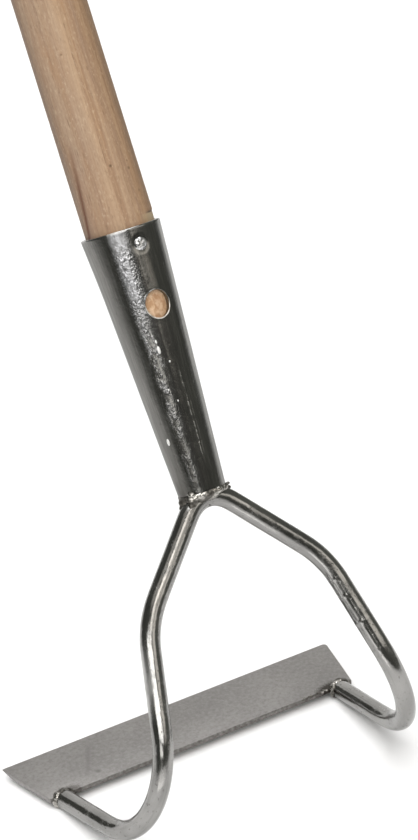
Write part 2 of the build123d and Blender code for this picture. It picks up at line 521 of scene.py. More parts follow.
def streak_masks(turn, above, place):
    """A greyish band and the narrow brown streak in it, rising from the rim on the left."""
    share = above / 0.0386
    bend = math_node("MAXIMUM", share, 0) ** 0.66 * 0.41
    waver = noise_at(place, (0, 0, 160)) * 0.05
    offset = turn - (bend - 1.53 + waver)
    narrow = ramp(abs(offset) * 9.0, (0, 1), (0.45, 0.6), (1, 0))
    fade = ramp(share, (0, 1), (0.45, 0.85), (0.85, 0.35), (1, 0))
    wide = ramp(scaled(offset, 1.6, 0.25), (0.2, 0), (0.32, 1), (0.6, 0.6), (1, 0))
    slow_fade = ramp(share, (0, 1), (0.6, 0.8), (1, 0))
    return wide * slow_fade, narrow * fade


def cut_masks(turn, above):
    """Pale fresh wood where the shaft was cut back to enter the socket, and the dark line over it."""
    side = scaled(turn, 0.25, 0.2)
    aside = ramp(side, (0.26, 0), (0.375, 1), (0.66, 1), (0.74, 0))
    rise = above * 200.0
    cut = ramp(rise, (0, 1), (0.6, 1), (0.68, 0))
    line = ramp(rise, (0.58, 0), (0.68, 1), (0.78, 0))
    aside_line = ramp(side, (0.33, 0), (0.38, 1), (0.66, 1), (0.74, 0))
    return aside * cut, aside_line * line


def knot_mask(turn, above, knot_turn, rise, size, strength):
    """Round spot on the shaft; its place is degrees round from the front and mm above the rim."""
    away = hypot((turn - math.radians(knot_turn)) * SHAFT_RADIUS, above - rise * MM)
    return ramp(away / (size * MM), (0.3, strength), (1, 0))


def socket_material():
    """Zinc plate on rolled sheet: mirror-like at the sides, crystalline and scratched down the front, with a
    painted glint along the rim.
    """
    material, tree, shader = new_material("zinc_socket")
    place = object_place(tree)
    x, y, z = split(place)
    turn = math_node("ARCTAN2", x, y * -1.0)
    rise = z / SOCKET_LENGTH

    # Crystalline strip down the front: smooth at the rim, in patches further down
    aside = turn + 0.8 + noise_at(place, (0, 0, 260)) * 0.10
    strip = ramp(aside, (0.02, 0), (0.15, 1), (0.34, 1), (0.5, 0.4), (0.66, 0))
    patchy = ramp(noise_at(place, (520, 520, 170), 3, 0.65), (0.45, 0), (0.58, 1))
    whole = ramp(rise, (0.55, 0), (0.78, 1))
    strip = strip * mix(whole, patchy, (1, 1, 1))
    strip = strip * ramp(rise, (0.04, 0.22), (0.5, 0.42), (0.8, 1))
    polished = ramp(rise, (0.9, 0), (0.97, 1))
    rough_part = strip * (1.0 - polished)

    swirl = noise_at(place, (700, 700, 500), 2, 0.6)
    spangles = spangle_height(place, swirl)
    grain = noise_at(place, (2600, 2600, 1700), 1)
    draw = noise_at(place, (1000, 1000, 22), 2, 0.6)
    swell = noise_at(place, (120, 120, 40))
    flecks = ramp(noise_at(place, (1500, 1500, 420), 1), (0.66, 0), (0.74, 1))

    line = scratch_mask(turn, rise, place, 0, 0.42, 24.0) * 0.75
    second = scratch_mask(turn, rise, place, 0.1, 0.34, 32.0)
    line = math_node("MAXIMUM", line, second * 0.4)
    run = ramp(abs(turn - 0.03) * 6.0, (0, 1), (0.3, 0.8), (0.9, 0))
    run = run * ramp(rise, (0.74, 0), (0.78, 1), (0.87, 1), (0.92, 0))

    # Painted highlight: a near-white glint painted along the rim's rounded edge, brightest over the front
    # strip.
    rim = ramp(1.0 - rise, (0.002, 1), (0.009, 0))
    rim = rim * ramp(aside, (0, 0.25), (0.1, 1), (0.3, 1), (0.5, 0.3))
    # Darker low down on the socket's left side, near the foot.
    dark_lower_left = ramp(rise + swirl * 0.05, (0.04, 0.8), (0.1, 0.45), (0.24, 0.15))
    dark_lower_left = dark_lower_left * ramp(turn + 1.2, (0, 1), (0.35, 0))
    tone = paint(
        mix(swell, (0.216, 0.212, 0.2), (0.254, 0.248, 0.235)),
        (ramp(draw, (0.35, 0.6), (0.62, 0)), (0.15, 0.15, 0.142)),
        (ramp(draw, (0.52, 0), (0.7, 0.4)), (0.34, 0.335, 0.32)),
        (strip, (0.53, 0.53, 0.55)),
        (strip * ramp(swirl, (0.38, 0.8), (0.54, 0)), (0.24, 0.24, 0.24)),
        (run * 0.45, (0.42, 0.395, 0.36)),
        # The rim's painted glint and the real scratches share one near-white tint.
        (math_node("MAXIMUM", rim, line), (0.8, 0.8, 0.78)),
        (flecks * 0.5, (0.12, 0.12, 0.112)),
        (dark_lower_left, (0.07, 0.066, 0.06)))
    rough = scaled(rough_part, 0.13, 0.17) + line * 0.22 + run * 0.12 + strip * polished * 0.25
    height = spangles * scaled(rough_part, 0.62, 0.03) + swirl * scaled(strip, 0.35, 0.05)
    height = height + grain * scaled(rough_part, 0.34, 0.05) + draw * 0.08 - flecks * 0.06 + line * 0.25
    finish_surface(shader, tone, rough, height, 0.27 * MM)
    return material


def spangle_height(place, swirl):
    """Small shallow facets of crystallised zinc."""
    tree = tree_of(place)
    stretched = stretch(place, (1000, 1000, 760))
    pushed = node(tree, "ShaderNodeVectorMath", {"operation": "ADD"}, _0=stretched, _1=swirl)
    cells = node(tree, "ShaderNodeTexVoronoi", {"feature": "SMOOTH_F1"}, Vector=pushed.outputs[0], Scale=1.0,
                 Smoothness=0.25)
    return Field(cells.outputs["Distance"])


def scratch_mask(turn, rise, place, where, top, sharpness):
    """Long broken scratch to the window's lower right; sharpness sets how thin it is."""
    waver = noise_at(place, (0, 0, 90), 3) * 0.16
    offset = turn - waver - (where - 0.02)
    line = ramp(abs(offset) * sharpness, (0, 1), (0.5, 0.4), (1, 0))
    broken = ramp(noise_at(place, (150, 150, 420)), (0.4, 0.15), (0.55, 1))
    length = ramp(rise, (0.11, 0), (0.14, 1), (top, 1), (top + 0.04, 0))
    return line * length * broken


def rod_material():
    """Bright zinc plate on drawn bar: draw lines along it, slight waves, dull patches and pits."""
    material, tree, shader = new_material("zinc_rod")
    along = attribute(tree, "along_rod", "Vector")
    waves = noise_at(along, (170, 170, 90))
    lines = noise_at(along, (700, 700, 26), 3, 0.6)
    ripple = noise_at(along, (620, 620, 420), 2, 0.55)
    fine = noise_at(along, (2000, 2000, 700), 1)
    pits = ramp(noise_at(along, (900, 900, 650), 1), (0.68, 0), (0.76, 1))
    cloud = noise_at(along, (90, 90, 50), 3)
    dull = ramp(noise_at(along, (330, 330, 130), 3, 0.6), (0.48, 0), (0.66, 1))
    worn = math_node("MULTIPLY", attribute(tree, "worn", "Fac"), scaled(lines, 0.8, 0.5), clamp=True)

    tone = paint(
        mix(ramp(cloud, (0.35, 0), (0.65, 1)), (0.285, 0.281, 0.273), (0.385, 0.379, 0.368)),
        (ramp(lines, (0.32, 0.5), (0.48, 0)), (0.2, 0.196, 0.188)),
        (worn, (0.6, 0.595, 0.585)),
        (pits * 0.6, (0.13, 0.12, 0.11)))
    rough = scaled(dull, 0.16, 0.1) + worn * 0.3 + ripple * 0.08
    height = scaled(waves, 3.0) + lines * 1.5 + ripple * scaled(dull, 1.3, 0.9)
    height = height + fine * scaled(dull, 0.45, 0.15) - pits * 0.8
    finish_surface(shader, tone, rough, height, 0.034 * MM)
    return material


def weld_material():
    """Plated weld: bright lumps with soot-dark hollows, and dark over its whole left flank."""
    material, tree, shader = new_material("weld_bead")
    place = object_place(tree)
    x = split(place)[0]
    lumps = noise_at(place, (330, 330, 330), 3, 0.6, 0.5)
    soot = ramp(noise_at(place, (260, 260, 260), 3), (0.42, 0), (0.57, 1))
    # The left flank, on the negative x side, is made dark as well as the sooty patches.
    flank = ramp(scaled(x, -50.0), (0.41, 0), (0.47, 1), (0.8, 1), (1, 0))
    soot = math_node("MAXIMUM", soot, flank)
    tone = mix(soot * 0.92, (0.56, 0.54, 0.505), (0.1, 0.093, 0.082))
    finish_surface(shader, tone, scaled(soot, 0.3, 0.14), lumps, 0.2 * MM)
    return material


def drip_glint_material():
    """Dull white zinc on the drips, made pale enough to stand in for the glints on them: partly their own
    colour, partly a painted highlight.
    """
    material, tree, shader = new_material("zinc_drip_glint")
    place = object_place(tree)
    cloud = noise_at(place, (1200, 1200, 1200))
    tone = mix(cloud, (0.72, 0.72, 0.7), (0.95, 0.95, 0.93))
    finish_surface(shader, tone, scaled(cloud, 0.2, 0.3), cloud, 0.05 * MM, metallic=0.45)
    return material


def lip_highlight_material():
    """Painted highlight: pale, cream-toned zinc on the window's lower lip, where the light catches it."""
    material, tree, shader = new_material("zinc_lip_highlight")
    place = object_place(tree)
    lip_mottle = noise_at(place, (500, 500, 500), 2, 0.6)
    tone = mix(ramp(lip_mottle, (0.35, 0), (0.65, 1)), (0.42, 0.38, 0.33), (0.86, 0.82, 0.76))
    finish_surface(shader, tone, scaled(lip_mottle, 0.3, 0.25), lip_mottle, 0.05 * MM, metallic=0.6)
    return material


def screw_material():
    """Bright plated screw with a dull, dented head."""
    material, tree, shader = new_material("screw_zinc")
    place = object_place(tree)
    dents = noise_at(place, (620, 620, 620), 2, 0.6)
    tone = ramp(dents, (0.4, 0.16), (0.5, 0.62), (0.62, 0.9))
    finish_surface(shader, tone, scaled(dents, 0.25, 0.2), dents, 0.16 * MM)
    return material


def blade_material():
    """Dull plated sheet: fine grain and faint clouding, darker along its back edge."""
    material, tree, shader = new_material("blade_steel")
    place = object_place(tree)
    x, y, _ = split(place)
    grind = noise_at(place, (480, 1500, 1500), 2, 0.6)
    grain = noise_at(place, (1500, 1500, 1500), 2, 0.7)
    cloud = noise_at(place, (38, 38, 38), 3)
    spots = noise_at(place, (420, 420, 420))
    mottle = noise_at(place, (560, 560, 560), 3, 0.65)
    # Darker and rougher in a ragged band along the back edge.
    ragged = scaled(noise_at(place, (700, 700, 700)), 0.0011)
    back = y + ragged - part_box("blade")[0].y
    dark_back_edge = ramp(back * 1000.0, (0.35, 1), (0.95, 0))

    tone = paint(
        mix(ramp(cloud, (0.3, 0), (0.7, 1)), (0.318, 0.307, 0.298), (0.392, 0.378, 0.368)),
        (ramp(grain, (0.3, 0.25), (0.55, 0)), (0.24, 0.228, 0.22)),
        (ramp(mottle, (0.32, 0.45), (0.5, 0)), (0.25, 0.238, 0.23)),
        (ramp(mottle, (0.52, 0), (0.7, 0.4)), (0.46, 0.445, 0.445)),
        (ramp(spots, (0.62, 0), (0.78, 0.26)), (0.2, 0.185, 0.175)),
        (smudge_mask(x, y, mottle), (0.15, 0.142, 0.135)),
        (dark_back_edge * 0.8, (0.09, 0.082, 0.07)))
    for weld, reach_across, strength in (("blade_weld_right", 9.0, 0.9), ("blade_weld_left", 7.0, 0.6)):
        tone = mix(burn_mask(x, y, grain, weld, reach_across, strength), tone, (0.06, 0.052, 0.044))
    finish_surface(shader, tone, scaled(grind, 0.2, 0.38), grind + grain * 0.8 + dark_back_edge * 3.0, 0.02 * MM)
    return material


def smudge_mask(x, y, mottle):
    """Faint scuff across the blade's left part, with a dark spot at its back end."""
    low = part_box("blade")[0]
    forward = y - (low.y + SCUFF_PLACE[1])
    aside = abs(x - (low.x + SCUFF_PLACE[0]) - forward * 0.58)
    scuff = ramp(aside / (1.6 * MM), (0.2, 0.5), (1, 0))
    reach = ramp(abs(forward) / (9 * MM), (0.7, 1), (1, 0))
    away = hypot(x - (low.x + SPOT_PLACE[0]), y - (low.y + SPOT_PLACE[1]))
    spot = ramp(away / (1.8 * MM), (0.3, 0.5), (1, 0))
    return math_node("MAXIMUM", scuff * reach * mottle, spot)


def burn_mask(x, y, grain, weld, reach_across, strength):
    """Ragged burnt patch on the plate round a weld; the reach is in mm along the back edge."""
    low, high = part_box(weld)
    inward = -1 if low.x > 0 else 1
    across = (x - ((low.x + high.x) / 2 + inward * 3.0 * MM)) * (1 / (reach_across * MM))
    along = (y - (low.y + high.y) / 2) * (1 / (4.2 * MM))
    return ramp(hypot(across, along) + scaled(grain, 0.9, -0.45), (0.55, strength), (1, 0))


# ---- pieces

def handle_profile():
    """(radius, height) pairs: taper inside the socket, the cut-back, the straight run and the top."""
    points = in_tool_axes("handle")
    tip = min(point.z for point in points)
    top = max(point.z for point in points)
    tip_radius = max(point.xy.length for point in points if point.z - tip < TIP_ROUNDING)
    rim = SOCKET_LENGTH
    straight_top = rim + SHAFT_LENGTH
    rounding = top - straight_top
    profile = [(0, tip), (tip_radius * 0.97, tip), (tip_radius, tip + TIP_ROUNDING)]
    for step in range(1, TAPER_ROWS):
        share = step / TAPER_ROWS
        profile.append((tip_radius + (SHAFT_RADIUS - tip_radius) * share, tip + (rim - tip) * share))
    fine = CUT_HEIGHT * 2
    run = SHAFT_LENGTH - fine
    profile += [(SHAFT_RADIUS, rim + fine * step / CUT_ROWS) for step in range(1, CUT_ROWS + 1)]
    profile += [(SHAFT_RADIUS, rim + fine + run * step / SHAFT_ROWS) for step in range(1, SHAFT_ROWS + 1)]
    for step in range(1, TOP_ROWS + 1):
        turn = math.pi / 2 * step / TOP_ROWS
        radius = SHAFT_RADIUS - rounding * (1 - math.cos(turn))
        profile.append((radius, straight_top + rounding * math.sin(turn)))
    return profile + [(0, top)]


def hand_sanded(point):
    """Moves a point of the shaft: slightly out of true, and cut back over the rim on the right."""
    if point.z < SOCKET_LENGTH:
        return point
    depth = 0.03 * MM - noise.noise(Vector((point.x * 60, point.y * 60, point.z * 4))) * 0.05 * MM
    turn = math.degrees(math.atan2(point.x, -point.y))
    if point.z < SOCKET_LENGTH + CUT_HEIGHT and CUT_FROM < turn < CUT_TO:
        depth += CUT_DEPTH * min(1.0, (turn - CUT_FROM) / CUT_FADE, (CUT_TO - turn) / CUT_FADE)
    out = Vector((point.x, point.y, 0)).normalized()
    return point - out * depth


def make_handle(material):
    """The shaft, turned from its profile."""
    turns = [2 * math.pi * step / SHAFT_SIDES for step in range(SHAFT_SIDES)]
    made = bmesh.new()
    rings = []
    for radius, height in handle_profile():
        if radius == 0:
            rings.append([made.verts.new((0, 0, height))])
        else:
            rings.append([made.verts.new(hand_sanded(polar(radius, turn, height))) for turn in turns])
    join_rings(made, rings)
    new_piece("ash_handle", mesh_from(made, "ash_handle"), material, "handle", TOOL)


def socket_radius(height):
    return SOCKET_FOOT_RADIUS + (SOCKET_RIM_RADIUS - SOCKET_FOOT_RADIUS) * height / SOCKET_LENGTH


def foot_edge():
    """Height of the socket's lower edge against the angle round it, where it is cut to the rod."""
    edge = []
    for point in in_tool_axes("socket"):
        on_outside = abs(point.xy.length - socket_radius(point.z)) < 0.05 * MM
        if on_outside and point.z < FOOT_BLEND:
            edge.append((math.atan2(point.y, point.x) % (2 * math.pi), point.z))
    edge.sort()
    low = [(angle, min(h for a, h in edge if abs(a - angle) < 0.12)) for angle, _ in edge]
    return [(low[-1][0] - 2 * math.pi, low[-1][1])] + low + [(low[0][0] + 2 * math.pi, low[0][1])]


def interpolate(table, place):
    for (a, first), (b, second) in zip(table, table[1:]):
        if a <= place <= b:
            return first + (second - first) * (place - a) / max(b - a, 1e-9)
    return table[-1][1]


def dented(across, height):
    """How far the socket's outside stands in or out: the screw's seat, a flare and hammering."""
    seat = math.hypot(across, height - SCREW_HEIGHT) / SEAT_RADIUS
    depth = -SEAT_DEPTH * (1 - seat * seat) ** 2 if seat < 1 else 0.0
    place = Vector((across, height, 0)) / MM
    depth += 0.030 * MM * noise.noise(place * 0.16)
    left = max(0.0, 1 - abs(across / MM + 28) / 22)
    depth += FLARE * left * max(0.0, height / SOCKET_LENGTH * 4 - 3) ** 1.5
    depth += 0.012 * MM * noise.noise(place * 0.5 + Vector((7, 3, 1)))
    return depth


def seam_turn(column, height):
    """Angle round the socket of a grid column, from one lip of the seam to the other."""
    gap = SEAM_WIDTH / 2 / socket_radius(height)
    return BACK + gap + (2 * math.pi - 2 * gap) * column / COLUMNS


def socket_profile():
    """(height, depth) pairs up the outside, over the rounded rim and down the inside."""
    heights = [SOCKET_LENGTH * row / ROWS for row in range(ROWS)]
    heights[-1] = SOCKET_LENGTH - RIM_ROUNDING * 1.6
    outside = [(height, 0.0) for height in heights]
    rounding = []
    for step in range(4):
        angle = math.pi / 2 * step / 3
        height = SOCKET_LENGTH - RIM_ROUNDING * (1 - math.sin(angle))
        rounding.append((height, RIM_ROUNDING * (1 - math.cos(angle))))
    inside_rounding = [(height, SOCKET_WALL - depth) for height, depth in reversed(rounding)]
    inside = [(height, SOCKET_WALL) for height in reversed(heights)]
    return outside + rounding + inside_rounding + inside


def socket_point(edge, turn, height, depth, proud=0.0):
    """Point on the socket; the across distance is measured round from the window."""
    if height < FOOT_BLEND:
        low = interpolate(edge, turn % (2 * math.pi))
        height = low + height * (FOOT_BLEND - low) / FOOT_BLEND
    across = (turn - FRONT) * socket_radius(height)
    radius = socket_radius(height) - depth + proud
    if depth < SOCKET_WALL / 2:
        radius += dented(across, height)
    return polar(radius, turn, height)


def beside_window(column, row):
    """Whether a place on the grid falls in the patch that is left out round the window."""
    return abs(column - MIDDLE_COLUMN) < HALF_COLUMNS and abs(row - WINDOW_ROW) < HALF_ROWS


def socket_grid(made, profile, edge):
    """The wall's two skins with the rim between them, as vertices by (profile index, column)."""
    last = len(profile) - 1
    grid = {}
    for index, (height, depth) in enumerate(profile):
        row = min(index, last - index)
        for column in range(COLUMNS + 1):
            if not beside_window(column, row):
                point = socket_point(edge, seam_turn(column, height), height, depth)
                grid[index, column] = made.verts.new(point)
    for index in range(last):
        for column in range(COLUMNS):
            if not beside_window(column + 0.5, min(index, last - index - 1) + 0.5):
                corners = ((index, column), (index, column + 1), (index + 1, column + 1), (index + 1, column))
                made.faces.new([grid[corner] for corner in corners])
    for column in range(COLUMNS):
        made.faces.new((grid[last, column], grid[last, column + 1], grid[0, column + 1], grid[0, column]))
    return grid


def close_seam(made, grid, last):
    """Faces across the wall at the two lips of the seam."""
    for index in range(last // 2 + 1):
        for column in (0, COLUMNS):
            corners = [grid[index, column], grid[index + 1, column]]
            if index + 1 < last - index - 1:
                made.faces.new(corners + [grid[last - index - 1, column], grid[last - index, column]])
            elif index + 1 == last - index - 1:
                made.faces.new(corners + [grid[last - index, column]])


def window_loop():
    """(row, column) of the grid's places round the patch that is left out for the window."""
    loop = [(WINDOW_ROW - HALF_ROWS, MIDDLE_COLUMN + step) for step in range(-HALF_COLUMNS, HALF_COLUMNS)]
    loop += [(WINDOW_ROW + step, MIDDLE_COLUMN + HALF_COLUMNS) for step in range(-HALF_ROWS, HALF_ROWS)]
    loop += [(WINDOW_ROW + HALF_ROWS, MIDDLE_COLUMN - step) for step in range(-HALF_COLUMNS, HALF_COLUMNS)]
    return loop + [(WINDOW_ROW - step, MIDDLE_COLUMN - HALF_COLUMNS) for step in range(-HALF_ROWS, HALF_ROWS)]


def window_ring(made, edge, share, depth, proud=0.0, grow=0.0):
    """Ring round the window: share 0 is the grid's edge and 1 the window's, which grow widens."""
    scale = socket_radius(WINDOW_HEIGHT)
    points = []
    for row, column in window_loop():
        height = SOCKET_LENGTH * row / ROWS
        across = (seam_turn(column, height) - FRONT) * scale
        along = height - WINDOW_HEIGHT
        angle = math.atan2(along / WINDOW_ALONG, across / WINDOW_ACROSS)
        edge_across = (WINDOW_ACROSS + grow) * math.cos(angle)
        edge_along = (WINDOW_ALONG + grow) * math.sin(angle)
        turn = FRONT + (across + (edge_across - across) * share) / scale
        new_height = WINDOW_HEIGHT + along + (edge_along - along) * share
        points.append(made.verts.new(socket_point(edge, turn, new_height, depth, proud)))
    return points


def punch_window(made, grid, last, edge):
    """Rings from the grid over the window's lip, through the wall and back to the grid inside."""
    loop = window_loop()
    rings = [[grid[place] for place in loop]]
    rings += [window_ring(made, edge, share, 0.0) for share in WINDOW_STEPS]
    lip_start = len(rings)
    rings += [window_ring(made, edge, 1.0, 0.0, WINDOW_LIP * proud, grow * MM) for grow, proud in LIP_STEPS]
    rings += [window_ring(made, edge, 1.0, SOCKET_WALL * share) for share in WALL_STEPS]
    rings += [window_ring(made, edge, share, SOCKET_WALL) for share in INSIDE_STEPS]
    rings.append([grid[last - row, column] for row, column in loop])
    for index, (first, second) in enumerate(zip(rings, rings[1:])):
        on_lip = lip_start <= index < lip_start + len(LIP_STEPS) - 1
        end = abs(index - lip_start - len(LIP_STEPS) // 2 + 1) * 3
        for (row, _), lip_face in zip(loop, bridge(made, first, second)):
            # The lower part of the lip takes the pale lip material, a painted highlight; its upper part stays
            # plain zinc.
            lip_face.material_index = 2 if on_lip and row <= WINDOW_ROW + 6 - end else 0


def add_drips(made):
    for turn, rise, half_width, half_length, proud in ZINC_DRIPS:
        spin = Matrix.Rotation(FRONT + math.radians(turn), 4, "Z")
        seat = Matrix.Translation((socket_radius(rise * MM) - 0.02 * MM, 0, rise * MM))
        size = Matrix.Diagonal((proud * MM, half_width * MM, half_length * MM, 1))
        before = len(made.faces)
        bmesh.ops.create_icosphere(made, subdivisions=3, radius=1.0, matrix=spin @ seat @ size)
        made.faces.ensure_lookup_table()
        # The drips take the dull white material, partly a painted highlight.
        for drip_face in made.faces[before:]:
            drip_face.material_index = 1


def make_socket(material, drip_glint_material, lip_highlight_material):
    """Rolled sheet socket: open seam at the back, punched window with a lip, pressed screw seat."""
    profile = socket_profile()
    last = len(profile) - 1
    edge = foot_edge()
    made = bmesh.new()
    grid = socket_grid(made, profile, edge)
    close_seam(made, grid, last)
    punch_window(made, grid, last, edge)
    bmesh.ops.recalc_face_normals(made, faces=made.faces)
    add_drips(made)
    mesh = mesh_from(made, "rolled_socket")
    new_piece("rolled_socket", mesh, material, "socket", TOOL, sharp=50)
    mesh.materials.append(drip_glint_material)
    mesh.materials.append(lip_highlight_material)


def recast(name, node_name, material, voxel, lump, grain, soften, spatter=()):
    """Piece cast from a CAD node: evenly remeshed, softened, lumped with noise, with spatter beads."""
    made = copy_of(node_name)
    for centre, radius in spatter:
        placed = Matrix.Translation(centre) @ Matrix.Diagonal((1, 1, 0.7, 1))
        bmesh.ops.create_icosphere(made, subdivisions=3, radius=radius, matrix=placed)
    source = link(name + "_source", mesh_from(made, name))
    even = source.modifiers.new("even", "REMESH")
    even.mode = "VOXEL"
    even.voxel_size = voxel
    relax = source.modifiers.new("relax", "SMOOTH")
    relax.factor = 0.5
    relax.iterations = soften
    bpy.context.view_layer.update()
    depsgraph = bpy.context.evaluated_depsgraph_get()
    solid = bpy.data.meshes.new_from_object(source.evaluated_get(depsgraph))
    bpy.data.objects.remove(source)
    normals = [v.normal.copy() for v in solid.vertices]
    for vertex, normal in zip(solid.vertices, normals):
        place = vertex.co / grain
        swell = noise.noise(place) + 0.45 * noise.noise(place * 2.3 + Vector((5, 1, 9)))
        vertex.co += normal * swell * lump
    solid.materials.clear()
    new_piece(name, solid, material, node_name)


def make_blade(material):
    """Plate with its sheared edges just broken, from the CAD blade."""
    made = copy_of("blade")
    bmesh.ops.dissolve_limit(made, angle_limit=math.radians(1), verts=made.verts, edges=made.edges)
    sharp = [e for e in made.edges if len(e.link_faces) == 2 and e.calc_face_angle() > math.radians(35)]
    bmesh.ops.bevel(
        made, geom=sharp, offset=BLADE_EDGE, segments=3, profile=0.5, affect="EDGES", clamp_overlap=True)
    bmesh.ops.triangulate(made, faces=made.faces)
    new_piece("hoe_blade", mesh_from(made, "hoe_blade"), material, "blade", sharp=25)


def rod_centreline():
    """Middle of the CAD rod from its left end to its right, with a point at each ROD_STEP."""
    rings = []
    for vertex in frame["nodes"]["stirrup_rod"].data.vertices:
        centre = vertex.co - vertex.normal * ROD_RADIUS
        near = next((ring for ring in rings if (ring[0] - centre).length < 0.5 * MM), None)
        if near:
            near.append(centre)
        else:
            rings.append([centre])
    centres = [sum(ring, Vector()) / len(ring) for ring in rings if len(ring) >= 8]
    path = [min(centres, key=lambda c: c.x * 2 - c.y)]
    centres.remove(path[0])
    while centres:
        following = min(centres, key=lambda c: (c - path[-1]).length)
        centres.remove(following)
        path.append(following)

    points = []
    for start, end in zip(path, path[1:]):
        count = max(1, round((end - start).length / ROD_STEP))
        points += [start.lerp(end, step / count) for step in range(count)]
    points.append(path[-1])
    for _ in range(ROD_SMOOTHING):
        inner = [(a + 2 * b + c) / 4 for a, b, c in zip(points, points[1:], points[2:])]
        points = [points[0]] + inner + [points[-1]]
    return points


def rod_surface(around, along, outward):
    """How far the rod's surface stands out: waves of drawing and bending, and the bender's jaw marks."""
    place = polar(1.2, around, along / MM * 0.12)
    out = 0.035 * MM * noise.noise(place) + 0.012 * MM * noise.noise(place * 4 + Vector((3, 8, 5)))
    for mark, width, height in JAW_MARKS:
        share = (along / MM - mark) / width
        if abs(share) < 1:
            cover = max(outward.dot(direction(*MARK_SIDE)), 0.0) ** 3
            out += height * MM * cover * (1 - share * share) ** 2
    return out


def worn_share(along, outward):
    """How far the plate is worn dull at a place on the rod, from 0 to 1."""
    away = (along / MM - WORN_PLACE) / WORN_REACH
    facing = max(outward.dot(direction(*WORN_SIDE)), 0.0)
    return max(1 - away * away, 0.0) * min(facing * 1.5, 1.0)


def make_rod(material):
    """The bent rod, swept along the CAD rod's own centreline."""
    points = rod_centreline()
    made = bmesh.new()
    layer = made.verts.layers.float_vector.new("along_rod")
    worn_layer = made.verts.layers.float.new("worn")
    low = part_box("stirrup_rod")[0].z
    rings = []
    side = Vector((0, 0, 1))
    along = 0.0
    for index, point in enumerate(points):
        before = points[max(index - 1, 0)]
        after = points[min(index + 1, len(points) - 1)]
        heading = (after - before).normalized()
        side = (side - heading * side.dot(heading)).normalized()
        other = heading.cross(side)
        along += (point - before).length
        ring = []
        for step in range(ROD_SIDES):
            turn = 2 * math.pi * step / ROD_SIDES
            outward = side * math.cos(turn) + other * math.sin(turn)
            place = point + outward * (ROD_RADIUS + rod_surface(turn, along, outward))
            place.z = max(place.z, low)
            vertex = made.verts.new(place)
            vertex[layer] = polar(ROD_RADIUS, turn, along)
            vertex[worn_layer] = worn_share(along, outward)
            ring.append(vertex)
        rings.append(ring)
    join_rings(made, rings)
    mesh = mesh_from(made, "bent_rod")
    new_piece("bent_rod", mesh, material, "stirrup_rod", sharp=60)


def weld_spatter():
    """Small beads thrown along the blade's back edge beside the right weld."""
    low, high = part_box("blade_weld_right")
    beads = []
    for step in range(SPATTER_BEADS):
        across = low.x + (1.6 - 1.25 * step + random.uniform(-0.5, 0.5)) * MM
        radius = random.uniform(0.5, 0.95) * MM if step < 4 else random.uniform(0.42, 0.72) * MM
        edge = low.y + (high.y - low.y) * 0.42 + random.uniform(-0.25, 0.5) * MM
        beads.append((Vector((across, edge, 2.0 * MM + random.uniform(-0.3, 0.1) * MM)), radius))
    return beads


def foot_beads():
    """Ripples of weld round the socket's foot, and its toes down both arms of the rod."""
    beads = []
    for step in range(FOOT_RIPPLES):
        angle = 2 * math.pi * (step + random.uniform(-0.25, 0.25)) / FOOT_RIPPLES
        radius = random.uniform(1.6, 2.1) * MM
        out = SOCKET_FOOT_RADIUS - random.uniform(1.2, 1.8) * MM
        height = random.uniform(-1.5, -0.7) * MM
        beads.append((polar(out, angle, height), radius))
    for x, y, z, radius in FOOT_TOES:
        beads.append((Vector((x, y, z)) * MM, radius * MM))
    return [(TOOL @ centre, radius) for centre, radius in beads]


# ---- stage, lights and camera

def direction(azimuth, elevation):
    """Unit vector from the hoe towards an azimuth and elevation, in degrees."""
    a = math.radians(azimuth)
    e = math.radians(elevation)
    return Vector((math.sin(a) * math.cos(e), -math.cos(a) * math.cos(e), math.sin(e)))


def stage_plane(name, size, place, material):
    """Level square that belongs to the stage."""
    bpy.ops.mesh.primitive_plane_add(size=size, location=place)
    plane = bpy.context.object
    plane.name = name
    plane.data.materials.append(material)
    return plane


def make_floor():
    material, _, shader = new_material("floor")
    shader.inputs["Base Color"].default_value = (0.90, 0.90, 0.90, 1)
    shader.inputs["Roughness"].default_value = 0.9
    shader.inputs["Specular IOR Level"].default_value = 0.1
    stage_plane("floor", 120, (0, 0, cad_box[0].z - 0.3 * MM), material)


def make_floor_shade():
    """Sheet just over the floor, seen only in the metal: the floor's reflection dims with distance."""
    material = bpy.data.materials.new("floor_shade")
    material.use_nodes = True
    tree = material.node_tree
    tree.nodes.clear()
    x, y, _ = split(object_place(tree))
    share = ramp(
        hypot(x, math_node("MINIMUM", y, 0)) / 3.0,
        (0.17, 0.13), (0.215, 0.22), (0.265, 0.52), (0.38, 0.76), (0.6, 0.88), (1, 1))
    behind = hypot(x - (BEHIND_CENTRE[0] - SHADE_CENTRE[0]), y - (BEHIND_CENTRE[1] - SHADE_CENTRE[1]))
    share = math_node("MAXIMUM", share, ramp(behind, (0.22, 0.42), (0.27, 0.36), (0.36, 0)))
    clear = node(tree, "ShaderNodeBsdfTransparent")
    dark = node(tree, "ShaderNodeEmission", Color=(*ROOM_TONE, 1), Strength=1.0)
    both = node(tree, "ShaderNodeMixShader", _0=share, _1=clear.outputs[0], _2=dark.outputs[0])
    node(tree, "ShaderNodeOutputMaterial", Surface=both.outputs[0])
    sheet = stage_plane("floor_shade", 118, (*SHADE_CENTRE, cad_box[0].z - 0.1 * MM), material)
    sheet.visible_camera = False
    sheet.visible_diffuse = False
    sheet.visible_shadow = False


def aimed(name, data, azimuth, elevation):
    """Light that shines from an azimuth and elevation, in degrees."""
    light = link(name, data)
    light.rotation_mode = "QUATERNION"
    light.rotation_quaternion = direction(azimuth, elevation).to_track_quat("Z", "Y")
    return light


